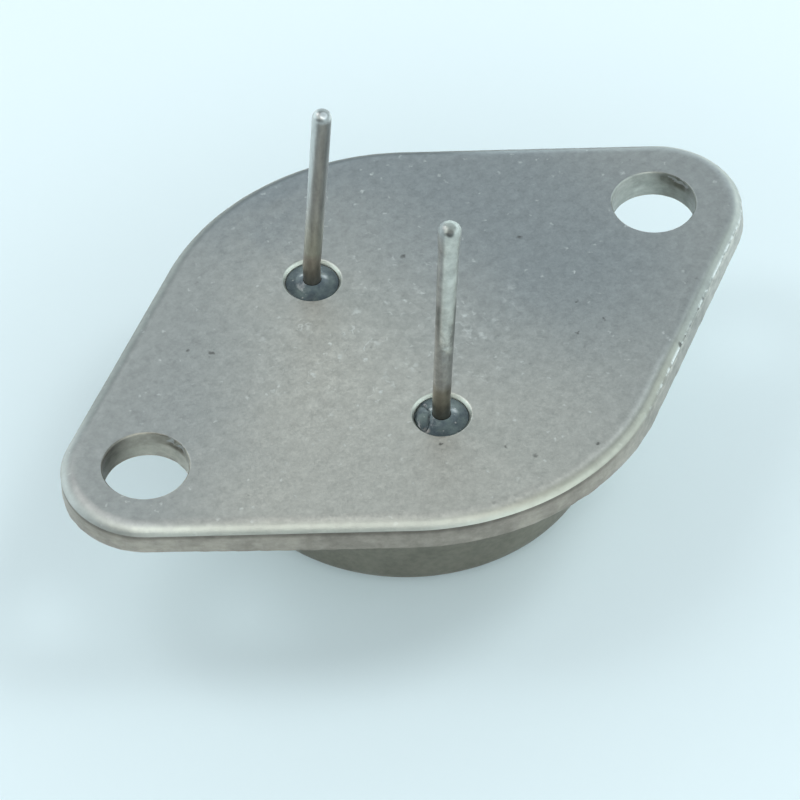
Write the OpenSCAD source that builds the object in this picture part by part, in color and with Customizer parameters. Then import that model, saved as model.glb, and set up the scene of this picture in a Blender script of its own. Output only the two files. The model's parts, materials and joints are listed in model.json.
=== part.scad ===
// Power transistor in a sealed metal case, standing on its can with the pins up.
// Origin: on the flange's mounting face, midway between the two mounting holes.
// +X runs through both holes and +Z along the pins. All sizes are in millimetres.

/* [Flange] */
// Distance between the centres of the two mounting holes
hole_spacing = 30.15; // [29.5:0.05:31]
// Diameter of each mounting hole
hole_d = 4.15; // [3.8:0.05:4.4]
// Thickness of the flange plate
flange_t = 1.6; // [1.4:0.05:1.8]
// Radius of the outline round the middle
centre_r = 12.65; // [12:0.05:13.3]
// Radius of the outline round each mounting hole
end_r = 4.25; // [3.6:0.05:4.8]
// How far the punched outline lies off the middle of the two holes, along X
outline_shift = 0.2; // [-0.3:0.05:0.3]
// Width of the edge's roll, measured in from the side wall
roll_w = 0.7; // [0.4:0.05:0.9]
// Depth of the edge's roll, measured down from the mounting face
roll_h = 0.45; // [0.2:0.05:0.6]

/* [Can] */
// Height from the mounting face to the can's closed end
can_drop = 7.9; // [7:0.1:8.5]
// Outer radius of the can's side wall
can_r = 9.45; // [9:0.05:9.6]
// Thickness of the drawn sheet
can_wall = 0.5; // [0.3:0.05:0.7]
// Outer radius of the corner round the closed end
can_corner = 0.8; // [0.75:0.05:1.2]
// Radius of the welded rim
rim_r = 10.5; // [10.3:0.05:10.6]
// Radius of the bend between the side wall and the rim
rim_bend = 0.5; // [0.3:0.05:0.6]

/* [Pins] */
// Distance between the two pins where they leave the glass
pin_pitch = 11.0; // [10.7:0.05:11.2]
// How far the row of pins lies from the middle of the holes, along -X
pin_row = 1.75; // [1.6:0.05:2]
// Diameter of the pin wire
pin_d = 1.0; // [0.9:0.02:1.1]
// Length of the emitter pin, along the wire from the mounting face
emitter_len = 11.6; // [11:0.1:12.2]
// Length of the base pin, along the wire from the mounting face
base_len = 12.2; // [11:0.1:12.6]
// Radius of the rounding at each tip
tip_round = 0.3; // [0.1:0.05:0.4]
// Height of the bend above the mounting face
bend_z = 0.9; // [0.8:0.1:2]
// How far the knuckle at the bend stands out round the wire
knuckle = 0.01; // [0.005:0.005:0.05]
// Angle that the emitter pin leans
emitter_lean = 4.4; // [1:0.1:6]
// Direction that the emitter pin leans in, counted from +X
emitter_lean_to = -45; // [-180:5:180]
// Angle that the base pin leans
base_lean = 4.5; // [1:0.1:6]
// Direction that the base pin leans in, counted from +X
base_lean_to = 20; // [-180:5:180]
// Diameter of the flat head at each pin's inner end
post_d = 1.9; // [1.6:0.1:2.2]
// Thickness of the flat head at each pin's inner end
post_t = 0.4; // [0.3:0.05:0.6]

/* [Glass seals] */
// Diameter of the glass and of its hole in the flange
seal_d = 2.65; // [2.4:0.05:2.9]
// Depth of the glass below the mounting face at its rim
seal_recess = 0.18; // [0.1:0.02:0.3]
// Height of the glass above the mounting face where it climbs the pin
seal_climb = 0.12; // [0.05:0.01:0.2]
// How far the glass bulges out of the flange on the inside
seal_bulge = 0.2; // [0.1:0.05:0.4]

/* [Inside] */
// Thickness of the braze under the heat spreader
braze_t = 0.08; // [0.05:0.01:0.15]
// Diameter of the copper heat spreader
spreader_d = 10.4; // [9:0.1:11]
// Gap between each of the spreader's two flats and the glass seal that it passes
spreader_gap = 0.3; // [0.2:0.05:0.8]
// Thickness of the heat spreader
spreader_t = 1.0; // [0.8:0.1:1.4]
// Distance of the spreader's middle from the middle of the holes, along X
spreader_x = 1.0; // [0:0.1:2]
// Thickness of the solder under the die
solder_t = 0.08; // [0.05:0.01:0.15]
// How far the solder spreads out past the die on each side
solder_fillet = 0.15; // [0.05:0.05:0.3]
// Side of the square silicon die
die_w = 4.6; // [3.6:0.1:5.4]
// Thickness of the die
die_t = 0.28; // [0.2:0.02:0.4]

/* [Bond wires] */
// Diameter of each emitter wire
emitter_wire_d = 0.38; // [0.25:0.01:0.5]
// Diameter of the base wire
base_wire_d = 0.3; // [0.2:0.01:0.4]
// Distance between the middles of the two emitter wires
wire_gap = 0.8; // [0.75:0.05:0.9]
// Height of a wire's loop above the die
loop_h = 1.3; // [1:0.1:1.6]
// Distance of the emitter bonds from the die's middle, along Y
emitter_bond_y = 0.9; // [0.5:0.1:1.2]
// Distance of the base bond from the die's middle, along -X and -Y
base_bond = 1.3; // [0.8:0.1:1.5]
// Length of the flattened foot at each end of a wire
foot_len = 0.9; // [0.7:0.05:1]
// Thickness of the flattened foot
foot_t = 0.16; // [0.1:0.02:0.2]
// Width of the flattened foot, in wire diameters
foot_spread = 1.5; // [1.2:0.1:1.8]

/* [Hidden] */
$fn = 96;

// Overrun of a cutter past the face that it cuts
over = 1;
// Overlap of two shapes that make one solid
lap = 0.1;
// Overrun of a wire's arc past its foot, in degrees, which is trimmed at the bonding level
arc_over = 8;

hole_x = hole_spacing / 2;
pin_r = pin_d / 2;
seal_r = seal_d / 2;
// Angle of the line from an arc's centre to where the straight edge of the outline leaves it
tangent_angle = acos((centre_r - end_r) / hole_x);
straight_edge = hole_x * sin(tangent_angle);
// Distance between the spreader's two flats
spreader_w = pin_pitch - seal_d - 2 * spreader_gap;
// Levels below the mounting face, from the inside of the flange to the bonding level
spreader_z = -flange_t - braze_t;
solder_z = spreader_z - spreader_t;
die_z = solder_z - solder_t;
bond_z = die_z - die_t;
emitter_xy = [-pin_row, pin_pitch / 2];
base_xy = [-pin_row, -pin_pitch / 2];
emitter_bond_xy = [spreader_x, emitter_bond_y];
base_bond_xy = [spreader_x - base_bond, -base_bond];

// A plane rectangle from the axis out to reach. Its upper outer corner is cut to an arc that leaves
// the top smoothly, is as wide as wide, and meets the side as far down as deep.
module arced_section(reach, depth, wide, deep) {
    arc_r = (pow(wide, 2) + pow(deep, 2)) / (2 * deep);
    difference() {
        translate([0, -depth]) square([reach, depth]);
        difference() {
            translate([reach - wide, -deep]) square([wide + over, deep + over]);
            translate([reach - wide, -arc_r]) circle(r = arc_r);
        }
    }
}

module flange_section(reach) {
    arced_section(reach, flange_t, roll_w, roll_h);
}

// A straight edge of the plate, from the arc round the middle to the arc round a mounting hole
module flange_edge() {
    rotate([0, 0, tangent_angle]) rotate([90, 0, 0]) linear_extrude(height = straight_edge)
        translate([centre_r - end_r, 0]) flange_section(end_r);
}

// The plate without its holes: a disc round the middle and one round each mounting hole, four
// straight edges that run smoothly from arc to arc, and a web that fills what lies between
module flange_plate() {
    web_r = centre_r - roll_w;
    rotate_extrude() flange_section(centre_r);
    for (x = [-hole_x, hole_x]) translate([x, 0, 0]) rotate_extrude() flange_section(end_r);
    for (flip_x = [0, 1], flip_y = [0, 1]) mirror([flip_x, 0, 0]) mirror([0, flip_y, 0]) flange_edge();
    translate([0, 0, -flange_t]) linear_extrude(height = flange_t)
        polygon([[-hole_x, 0], [0, -web_r], [hole_x, 0], [0, web_r]]);
}

module through_hole(x, y, r) {
    translate([x, y, -flange_t - over]) cylinder(r = r, h = flange_t + 2 * over);
}

module header_flange() {
    color("#9a9f9c") difference() {
        translate([outline_shift, 0, 0]) flange_plate();
        for (x = [-hole_x, hole_x]) through_hole(x, 0, hole_d / 2);
        for (at = [emitter_xy, base_xy]) through_hole(at.x, at.y, seal_r);
    }
}

// Fills the corner between a wall at x and a plate above it at y, out to an arc of radius r
module corner_fill(x, y, r) {
    difference() {
        translate([x - lap, y - r]) square([r + lap, r + lap]);
        translate([x + r, y - r]) circle(r = r);
    }
}

// Half of the cross-section of a drawn cup that hangs from the underside of the flange
module cup_section(r, floor_z, corner, flare) {
    translate([0, floor_z]) mirror([0, 1]) arced_section(r, -flange_t - floor_z, corner, corner);
    corner_fill(r, -flange_t, flare);
}

module can() {
    inner_r = can_r - can_wall;
    color("#70756e") rotate_extrude() difference() {
        union() {
            translate([0, -flange_t - can_wall]) square([rim_r, can_wall]);
            translate([0, -can_wall]) cup_section(can_r, -can_drop + can_wall, can_corner, rim_bend);
        }
        cup_section(inner_r, -can_drop + can_wall, can_corner - can_wall, rim_bend + can_wall);
    }
}

// A sleeve of glass between the flange's hole and the pin
module glass_seal(at) {
    color("#2f3b40") translate([at.x, at.y, 0]) rotate_extrude() polygon([
        [pin_r, -flange_t - seal_bulge],
        [seal_r, -flange_t],
        [seal_r, -seal_recess],
        [pin_r, seal_climb]
    ]);
}

module emitter_seal() {
    glass_seal(emitter_xy);
}

module base_seal() {
    glass_seal(base_xy);
}

// A wire that stands straight in its glass, bends just above it and leans the rest of its length.
// A round knuckle closes the bend.
module pin(at, len, lean, lean_to) {
    upper_len = len - bend_z;
    color("#7d7a70") translate([at.x, at.y, 0]) rotate([0, 0, lean_to]) {
        translate([0, 0, bond_z]) cylinder(r = post_d / 2, h = post_t);
        translate([0, 0, bond_z]) cylinder(r = pin_r, h = bend_z - bond_z);
        translate([0, 0, bend_z]) sphere(r = pin_r + knuckle);
        translate([0, 0, bend_z]) rotate([0, lean, 0]) rotate_extrude() translate([0, upper_len])
            arced_section(pin_r, upper_len, tip_round, tip_round);
    }
}

module emitter_pin() {
    pin(emitter_xy, emitter_len, emitter_lean, emitter_lean_to);
}

module base_pin() {
    pin(base_xy, base_len, base_lean, base_lean_to);
}

// A round plate with two flats, whose upper face lies at z
module spreader_plate(z, t) {
    translate([spreader_x, 0, z - t]) intersection() {
        cylinder(r = spreader_d / 2, h = t);
        translate([-spreader_d / 2, -spreader_w / 2, 0]) cube([spreader_d, spreader_w, t]);
    }
}

// A square plate under the spreader, whose upper face lies at z
module square_plate(side, z, t) {
    translate([spreader_x - side / 2, -side / 2, z - t]) cube([side, side, t]);
}

module spreader_braze() {
    color("#b08d57") spreader_plate(-flange_t, braze_t);
}

module heat_spreader() {
    color("#b87349") spreader_plate(spreader_z, spreader_t);
}

module die_solder() {
    color("#a9aaa6") square_plate(die_w + 2 * solder_fillet, solder_z, solder_t);
}

module silicon_die() {
    color("#4b5160") square_plate(die_w, die_z, die_t);
}

// A round wire that arcs away from the flange between two flattened feet on the bonding level,
// moved sideways off the line between them
module bond_wire(from, to, d, sideways) {
    run = to - from;
    chord = norm(run);
    arc_r = (pow(chord / 2, 2) + pow(loop_h, 2)) / (2 * loop_h);
    half_arc = asin(chord / 2 / arc_r) + arc_over;
    foot_w = foot_spread * d;
    color("#c9cbcc") translate([from.x, from.y, bond_z]) rotate([0, 0, atan2(run.y, run.x)])
        translate([0, sideways, 0]) {
            difference() {
                translate([chord / 2, 0, arc_r - loop_h]) rotate([90, 0, 0])
                    rotate([0, 0, -90 - half_arc]) rotate_extrude(angle = 2 * half_arc)
                        translate([arc_r, 0]) circle(r = d / 2);
                translate([-over, -over, 0]) cube([chord + 2 * over, 2 * over, 2 * over]);
            }
            for (x = [0, chord])
                translate([x - foot_len / 2, -foot_w / 2, -foot_t]) cube([foot_len, foot_w, foot_t]);
        }
}

module emitter_wire_1() {
    bond_wire(emitter_bond_xy, emitter_xy, emitter_wire_d, -wire_gap / 2);
}

module emitter_wire_2() {
    bond_wire(emitter_bond_xy, emitter_xy, emitter_wire_d, wire_gap / 2);
}

module base_wire() {
    bond_wire(base_bond_xy, base_xy, base_wire_d, 0);
}

header_flange();
can();
emitter_seal();
base_seal();
emitter_pin();
base_pin();
spreader_braze();
heat_spreader();
die_solder();
silicon_die();
emitter_wire_1();
emitter_wire_2();
base_wire();
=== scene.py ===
import json
import math

import bmesh
import bpy
from bpy.props import FloatProperty, FloatVectorProperty, IntProperty, PointerProperty
from mathutils import Matrix, Quaternion, Vector, noise


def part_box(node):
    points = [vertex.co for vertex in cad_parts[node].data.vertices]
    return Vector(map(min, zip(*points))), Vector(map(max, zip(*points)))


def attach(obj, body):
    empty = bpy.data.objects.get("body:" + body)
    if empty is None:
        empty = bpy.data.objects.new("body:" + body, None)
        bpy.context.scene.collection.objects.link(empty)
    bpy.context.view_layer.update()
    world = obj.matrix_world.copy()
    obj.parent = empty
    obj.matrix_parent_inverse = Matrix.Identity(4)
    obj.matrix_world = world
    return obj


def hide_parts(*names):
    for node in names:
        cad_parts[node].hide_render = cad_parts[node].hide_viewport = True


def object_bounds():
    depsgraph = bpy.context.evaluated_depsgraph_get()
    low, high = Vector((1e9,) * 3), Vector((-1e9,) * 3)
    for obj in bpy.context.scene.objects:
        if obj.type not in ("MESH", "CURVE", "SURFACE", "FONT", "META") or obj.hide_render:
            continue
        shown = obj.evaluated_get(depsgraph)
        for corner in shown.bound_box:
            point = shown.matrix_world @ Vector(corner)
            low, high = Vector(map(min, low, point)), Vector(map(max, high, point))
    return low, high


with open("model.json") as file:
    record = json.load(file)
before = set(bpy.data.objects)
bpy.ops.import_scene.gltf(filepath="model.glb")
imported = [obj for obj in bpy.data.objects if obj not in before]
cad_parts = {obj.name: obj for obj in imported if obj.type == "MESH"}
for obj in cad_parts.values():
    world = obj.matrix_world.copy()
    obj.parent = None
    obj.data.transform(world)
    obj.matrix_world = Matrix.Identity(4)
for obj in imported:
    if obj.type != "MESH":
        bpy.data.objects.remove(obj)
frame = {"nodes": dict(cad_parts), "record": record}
CAD_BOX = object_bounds()

bl_info = {
    "name": "Power Transistor",
    "version": (1, 0, 0),
    "blender": (4, 5, 0),
    "location": "3D View > Sidebar > Transistor",
    "description": "Builds and finishes a power transistor in a sealed metal case, pins up",
    "category": "Object",
}

MM = 0.001
UP = Vector((0, 0, 1))
FULL_TURN = 2 * math.pi
SHARP_ANGLE = math.radians(40)


def seal(name):
    """A glass seal's centre on the mounting face, and its radius."""
    low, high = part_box(name + "_seal")
    return ((low + high) / 2).xy.to_3d(), (high.x - low.x) / 2


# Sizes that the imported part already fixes, in metres
MOUNTS = {mount["name"]: mount for mount in frame["record"]["mounts"]}
FLANGE_LOW, FLANGE_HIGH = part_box("header_flange")
CAN_LOW, CAN_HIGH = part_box("can")
SEALS = {name: seal(name) for name in ("emitter", "base")}
HOLE_X = MOUNTS["mounting_holes"]["dims"]["spacing_x_mm"] * MM / 2
HOLE_R = MOUNTS["hole_by_pins"]["dims"]["r_mm"] * MM
PIN_R = MOUNTS["emitter_lead"]["dims"]["r_mm"] * MM
FLANGE_T = FLANGE_HIGH.z - FLANGE_LOW.z
OUTLINE_X = (FLANGE_LOW.x + FLANGE_HIGH.x) / 2
CENTRE_R = (FLANGE_HIGH.y - FLANGE_LOW.y) / 2
END_R = (FLANGE_HIGH.x - FLANGE_LOW.x) / 2 - HOLE_X
# Angle of the line from an arc's centre to where the outline's straight edge leaves the arc
TANGENT = math.acos((CENTRE_R - END_R) / HOLE_X)
STRAIGHT = HOLE_X * math.sin(TANGENT)

# Directions in the mounting face as the camera sees them: to the right, and straight away
SIDEWAYS = Vector((0.829, -0.559, 0))
BEHIND = Vector((0.559, 0.829, 0))

# Flat ring between each opening or edge and the fill of the plate's faces
FLAT_RING = 0.3 * MM
FOOT_STEPS = 3
# The normal of a face of the side wall rises or falls by less than this
UPRIGHT = 0.3
# What lies this near a mounting hole's wall belongs to it
HOLE_MARGIN = 0.05 * MM
# Half the height of the crease between the roll and the side wall
CREASE_H = 0.06 * MM
# Where the punch tore each mounting hole's wall, from the hole's centre, in millimetres, how far
# the tear reaches and how much flatter it is than wide
SCAR = Vector((2.0, 0.6, -0.3))
SCAR_REACH = 1.4 * MM
SCAR_SQUASH = 3.5

# Marks on the mounting face, in millimetres: the middle of the scuffed stretch, then pits and dots
# with their radii. A dark pit's stain spreads past its radius by PIT_SPREAD
SCUFFED = (-1.0, 0.5)
PIT_SPREAD = 1.3
DARK_PITS = (
    ((8.3, -5.0), 0.13), ((0.3, -10.3), 0.16), ((-0.5, -9.0), 0.13), ((3.2, -11.4), 0.12),
    ((8.2, 1.9), 0.16), ((7.9, -3.3), 0.13), ((6.7, -5.0), 0.1), ((-8.5, 4.3), 0.16),
    ((-9.3, 5.1), 0.11), ((2.8, 4.2), 0.17), ((-2.9, -7.1), 0.1),
)
EDGE_PITS = (
    ((13.3, -6.5), 0.18), ((12.7, -6.9), 0.14), ((11.7, -7.6), 0.2),
    ((11.1, -8.0), 0.15), ((10.5, -8.3), 0.18),
)
BRIGHT_DOTS = (
    ((4.8, 9.8), 0.13), ((0.2, 12.1), 0.1), ((4.1, -9.6), 0.14), ((-3.5, 1.4), 0.13),
    ((-3.2, 1.9), 0.1), ((3.7, 9.1), 0.16), ((-4.1, 1.1), 0.09), ((9.0, -1.6), 0.12),
    ((-3.3, -2.6), 0.17), ((-3.8, -3.0), 0.14), ((-2.7, -0.4), 0.15), ((1.1, 1.6), 0.15),
    ((-4.7, -2.7), 0.13), ((-1.8, -1.8), 0.13), ((-0.95, -6.45), 0.26),
)
# The seals' centres and the radius of the painted highlight on the pale rim round them
COLLARS = [centre.xy / MM for centre, _ in SEALS.values()]
COLLAR_R = 1.5
# The loose lobe of the base pin's glass, the chip beside it, and each bead's two painted
# reflections, from its centre, with their radii
LOBE = (-2.59, -5.09)
CHIP = (-2.9, -5.85)
PAINTED_REFLECTIONS = ((Vector((-0.23, 0.62)), 0.2), (Vector((0.69, -0.14)), 0.24))
# Each mounting hole's centre, where the painted shade on its wall is darkest from there, as the
# camera sees it, and how bright the wall is elsewhere
HOLE_LIGHT = ((-HOLE_X / MM, -2.1, 1.05), (HOLE_X / MM, 2.2, 0.82))

# Sides of the soft boxes and their distance from the object, in metres
SMALL_BOX = (0.14, 0.14)
WIDE_BOX = (0.6, 0.22)
LAMP_DISTANCE = 0.35
# Width of the camera's picture, in millimetres
PICTURE_WIDTH = 36

# Colours of the marks, and of the painted patchy highlight
DARK_MARK = (0.08, 0.075, 0.07)
PALE_MARK = (0.88, 0.87, 0.84)
PATCHY_HIGHLIGHT = (0.92, 0.92, 0.9)


# ---------------------------------------------------------------- settings


def length(name, description, size_mm):
    """A setting for a length, with its default in millimetres."""
    return FloatProperty(
        name=name, description=description, default=size_mm * MM, unit="LENGTH", precision=5)


def amount(name, description, default, **fit):
    """A setting for a number, with the unit, subtype or limits that fit it."""
    return FloatProperty(name=name, description=description, default=default, **fit)


def tint(name, description, colour):
    """A setting for a colour."""
    return FloatVectorProperty(
        name=name, description=description, default=colour, subtype="COLOR", min=0, max=1)


class FlangeSettings(bpy.types.PropertyGroup):
    """Sizes of the flange's edges and of the marks that punching left"""

    roll_width: length("Roll width", "Width of the edge's roll, in from the side wall", 0.8)
    roll_depth: length("Roll depth", "Depth of the edge's roll, down from the mounting face", 0.45)
    roll_steps: IntProperty(
        name="Roll steps", description="Facets across the roll", default=9, min=3)
    crease: length("Crease", "Depth of the crease between the roll and the side wall", 0.014)
    flare: length("Flare", "How far the side wall leans out down to the lower edge", 0.12)
    foot_round: length("Lower edge", "Rounding of the plate's lower edge", 0.1)
    spacing: length("Spacing", "Distance between points along the outline", 0.2)
    wall_rows: IntProperty(
        name="Wall rows", description="Rows of faces down the side wall", default=10, min=4)
    roughness: length(
        "Wall roughness", "Height of the tears that the punch left in the walls", 0.03)
    scar: length("Hole scar", "Depth of the scar that the punch tore in a hole's wall", 0.16)
    hole_round: length("Hole rounding", "Rounding of a mounting hole's upper rim", 0.07)
    collar_width: length("Collar width", "Width of the sloping rim round each glass seal", 0.13)
    collar_depth: length("Collar depth", "Depth of the sloping rim round each glass seal", 0.18)


class CanSettings(bpy.types.PropertyGroup):
    """Sizes of the drawn can"""

    wall_r: length("Wall radius", "Outer radius of the can's side wall", 9.45)
    sheet: length("Sheet", "Thickness of the drawn sheet", 0.5)
    corner: length("Corner", "Outer radius of the corner round the closed end", 0.8)
    rim_bend: length("Rim bend", "Radius of the bend between the side wall and the rim", 0.5)
    steps: IntProperty(
        name="Steps", description="Facets round the can", default=256, min=32)


class GlassSettings(bpy.types.PropertyGroup):
    """Sizes of the glass seals"""

    recess: length("Recess", "Depth of the glass below the mounting face at its rim", 0.2)
    skirt: length("Skirt", "Depth of the glass at the foot of its climb up the pin", 0.13)
    skirt_width: length("Skirt width", "Width of the glass's climb up the pin", 0.3)
    climb: length("Climb", "Height of the glass over the mounting face at the pin", 0.05)
    lobe: length("Lobe", "Height of the loose lobe of glass beside the base pin", 0.07)
    crack: length("Crack", "Depth of the crack round the lobe", 0.07)
    bulge: length("Bulge", "How far the glass bulges out of the flange on the inside", 0.2)


class PinSettings(bpy.types.PropertyGroup):
    """Sizes of the two pins"""

    bend: length("Bend height", "Height of a pin's bend above the mounting face", 0.9)
    bend_span: length("Bend span", "Length over which a pin bends", 1.0)
    wire_r: length("Wire radius", "Radius of a bare pin", 0.48)
    foot_r: length("Foot radius", "Radius of a pin just above its head", 0.425)
    tip_round: length("Tip rounding", "Rounding of a pin's tip", 0.42)
    head_r: length("Head radius", "Radius of the flat head at a pin's inner end", 0.95)
    head_t: length("Head thickness", "Thickness of the flat head at a pin's inner end", 0.4)
    tin_length: length("Tinned length", "Length of the base pin that holds old solder", 7.2)
    tin_bulb: length("Solder bulb", "How far the solder stands out at the base pin's tip", 0.05)


class FinishSettings(bpy.types.PropertyGroup):
    """Colours of the finishes"""

    plate_warm: tint(
        "Plate, warm", "Colour of the dull plating where it is warm", (0.54, 0.51, 0.465))
    # The cool colour is partly real tarnishing and partly painted shade on the far side
    plate_tarnish_and_shade: tint(
        "Plate, cool", "Colour of the dull plating where it is tarnished", (0.322, 0.334, 0.342))
    # The burnished colour also paints part of the roll's highlight and the highlight on the seals'
    # rims
    burnish_and_highlight: tint(
        "Burnished edge", "Colour of the rubbed roll along the plate's edge", (0.6, 0.6, 0.535))
    punched: tint("Punched wall", "Colour of the walls that the punch cut", (0.36, 0.32, 0.275))
    hole_wall: tint("Hole wall", "Colour of the mounting holes' bright walls", (0.42, 0.385, 0.33))
    cool_tint: tint("Cool tint", "Tint of the flange's edge on its right", (0.93, 0.97, 1.0))
    warm_tint: tint(
        "Warm tint", "Tint of the flange's rolled edge on its near right", (1.0, 0.96, 0.9))
    can_steel: tint("Can", "Colour of the can's plating", (0.25, 0.235, 0.195))
    glass: tint("Glass", "Colour of the sealing glass", (0.045, 0.065, 0.08))
    pale_glass: tint("Pale glass", "Colour of the glass where it is cloudy", (0.125, 0.17, 0.165))
    pin: tint("Pin", "Colour of the bare pin alloy", (0.36, 0.365, 0.355))
    pin_low: tint(
        "Pin, lower part", "Colour of the pin alloy's yellower lower part", (0.38, 0.38, 0.325))
    tin_foot: tint(
        "Base pin's foot", "Stain on the base pin where it leaves the glass", (0.225, 0.213, 0.178))
    pin_foot: tint("Pin foot", "Colour of the stained foot of a pin", (0.31, 0.285, 0.245))
    tin: tint("Solder", "Colour of the old solder on the base pin", (0.55, 0.56, 0.52))


class StageSettings(bpy.types.PropertyGroup):
    """The camera, the floor and the light"""

    azimuth: amount(
        "Azimuth", "Direction from which the camera looks, counted from -Y",
        math.radians(-34.0), subtype="ANGLE")
    elevation: amount(
        "Elevation", "Height of the camera over the floor", math.radians(47.4), subtype="ANGLE")
    roll: amount(
        "Roll", "Turn of the camera about its own axis", math.radians(-1.3), subtype="ANGLE")
    distance: length("Distance", "Distance from the camera to the point it looks at", 240)
    look_at: FloatVectorProperty(
        name="Look at", description="Point that the camera looks at",
        subtype="XYZ", unit="LENGTH", default=(-2.85 * MM, -3.6 * MM, 0))
    lens: amount("Lens", "Focal length for a picture 36 mm wide", 225, unit="CAMERA")
    floor_size: length("Floor", "Side of the floor", 3000)
    floor_colour: tint("Floor colour", "Colour of the floor and the backdrop", (0.74, 0.90, 0.95))
    sky_strength: amount("Sky", "Strength of the sky near the horizon, where it is brightest", 2.85)
    zenith: amount(
        "Zenith", "Share of that strength left overhead", 0.04, subtype="FACTOR", min=0, max=1)
    right_power: amount("Right lamp", "Power of the soft box to the right", 0.3, unit="POWER")
    front_power: amount("Front lamp", "Power of the soft box over the camera", 0.4, unit="POWER")
    left_power: amount("Left lamp", "Power of the soft box to the left", 0.18, unit="POWER")
    mirror_high: amount("Mirrored horizon", "Strength of the horizon as the metal mirrors it", 1.6)
    mirror_low: amount("Mirrored zenith", "Strength of the zenith as the metal mirrors it", 0.5)
    camera_shade: amount(
        "Camera shade", "How much the metal mirrors a dark camera side", 0.8,
        subtype="FACTOR", min=0, max=1)


SETTINGS = {
    "transistor_flange": FlangeSettings,
    "transistor_can": CanSettings,
    "transistor_glass": GlassSettings,
    "transistor_pins": PinSettings,
    "transistor_finish": FinishSettings,
    "transistor_stage": StageSettings,
}


# ---------------------------------------------------------------- mesh tools


def ring_point(centre_x, radius, angle):
    """A point on a circle round (centre_x, 0) in the mounting face."""
    return Vector((centre_x + radius * math.cos(angle), radius * math.sin(angle), 0))


def added(result, kind, key="geom"):
    """The new vertices, edges or faces that a bmesh operator returned."""
    return [item for item in result[key] if isinstance(item, kind)]


def cap(bm, edges, facing):
    """Closes a flat loop of edges with one face that faces along facing."""
    face = bmesh.ops.contextual_create(bm, geom=edges)["faces"][0]
    face.normal_update()
    if face.normal.dot(facing) < 0:
        face.normal_flip()
    return face


def drop(bm, edges, height):
    """Extrudes a loop of edges straight down and returns the new loop."""
    result = bmesh.ops.extrude_edge_only(bm, edges=edges)
    verts = added(result, bmesh.types.BMVert)
    bmesh.ops.translate(bm, verts=verts, vec=(0, 0, -height))
    new_edges = added(result, bmesh.types.BMEdge)
    return [edge for edge in new_edges if all(vert in verts for vert in edge.verts)]


def inset_steps(bm, face, steps):
    """Insets a face again and again, each time by a width and a height along its normal."""
    for width, height in steps:
        bmesh.ops.inset_region(
            bm, faces=[face], thickness=width, depth=height, use_boundary=True,
            use_even_offset=True)


def arc_steps(width, depth, count):
    """(width, height) steps down the arc that leaves a flat face smoothly, from its lower end up."""
    radius = (width ** 2 + depth ** 2) / (2 * depth)
    full = math.asin(min(width / radius, 1))
    angles = [full * (1 - step / count) for step in range(count + 1)]
    return [
        (radius * (math.sin(a) - math.sin(b)), radius * (math.cos(b) - math.cos(a)))
        for a, b in zip(angles, angles[1:])
    ]


def wire_profile(bm, corners, closed):
    """A wire in the XZ plane through (radius, height, rounding) corners. A corner's rounding is the
    radius of the arc that takes its place."""
    points = [Vector((radius, 0, height)) for radius, height, rounding in corners]
    verts = [bm.verts.new(point) for point in points]
    for a, b in zip(verts, verts[1:]):
        bm.edges.new((a, b))
    if closed:
        bm.edges.new((verts[-1], verts[0]))
    for i, (radius, height, rounding) in enumerate(corners):
        if rounding:
            before = points[i] - points[i - 1]
            after = points[(i + 1) % len(points)] - points[i]
            turn = before.angle(after)
            bmesh.ops.bevel(
                bm, geom=[verts[i]], offset=rounding * math.tan(turn / 2), offset_type="OFFSET",
                segments=max(3, round(turn / math.radians(12))), profile=0.5, affect="VERTICES",
                material=-1)


def divide_long(bm, edges, longest):
    """Divides each edge into pieces no longer than longest."""
    for edge in edges:
        cuts = math.ceil(edge.calc_length() / longest) - 1
        if cuts > 0:
            bmesh.ops.subdivide_edges(bm, edges=[edge], cuts=cuts)


def turn_profile(bm, steps):
    """Spins the wire in the XZ plane round the Z axis and closes its poles."""
    bmesh.ops.spin(
        bm, geom=bm.verts[:] + bm.edges[:], cent=(0, 0, 0), axis=UP, dvec=(0, 0, 0),
        angle=FULL_TURN, steps=steps, use_merge=True, use_duplicate=False)
    bmesh.ops.remove_doubles(bm, verts=bm.verts[:], dist=0.0002 * MM)
    bmesh.ops.dissolve_degenerate(bm, edges=bm.edges[:], dist=0.0001 * MM)


def lathe(corners, steps, longest, closed=False):
    """A turned shape as a bmesh of its own, with no edge of its profile over the longest."""
    bm = bmesh.new()
    wire_profile(bm, corners, closed)
    divide_long(bm, bm.edges[:], longest)
    turn_profile(bm, steps)
    return bm


def join_into(bm, other, place):
    """Adds another bmesh to this one at a place and frees it."""
    bmesh.ops.translate(other, verts=other.verts[:], vec=place)
    mesh = bpy.data.meshes.new("joining")
    other.to_mesh(mesh)
    other.free()
    bm.from_mesh(mesh)
    bpy.data.meshes.remove(mesh)


def clamp(value):
    """A value held between 0 and 1."""
    return min(1, max(0, value))


def from_hole(point):
    """How far a point lies from the axis of the nearer mounting hole."""
    return math.hypot(abs(point.x) - HOLE_X, point.y)


def ripple(point, size, seed=0.0):
    """Smooth noise from -1 to 1 whose bumps are about size metres wide."""
    return noise.noise(point / size + Vector((seed, seed, seed)))


def put_in_scene(name, data):
    """A new object in the scene for a mesh, a lamp or a camera."""
    thing = bpy.data.objects.new(name, data)
    bpy.context.scene.collection.objects.link(thing)
    return thing


def mesh_object(bm, name, materials):
    """Turns a bmesh into an object in the scene."""
    mesh = bpy.data.meshes.new(name)
    bm.to_mesh(mesh)
    bm.free()
    for material in materials:
        mesh.materials.append(material)
    return put_in_scene(name, mesh)


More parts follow.
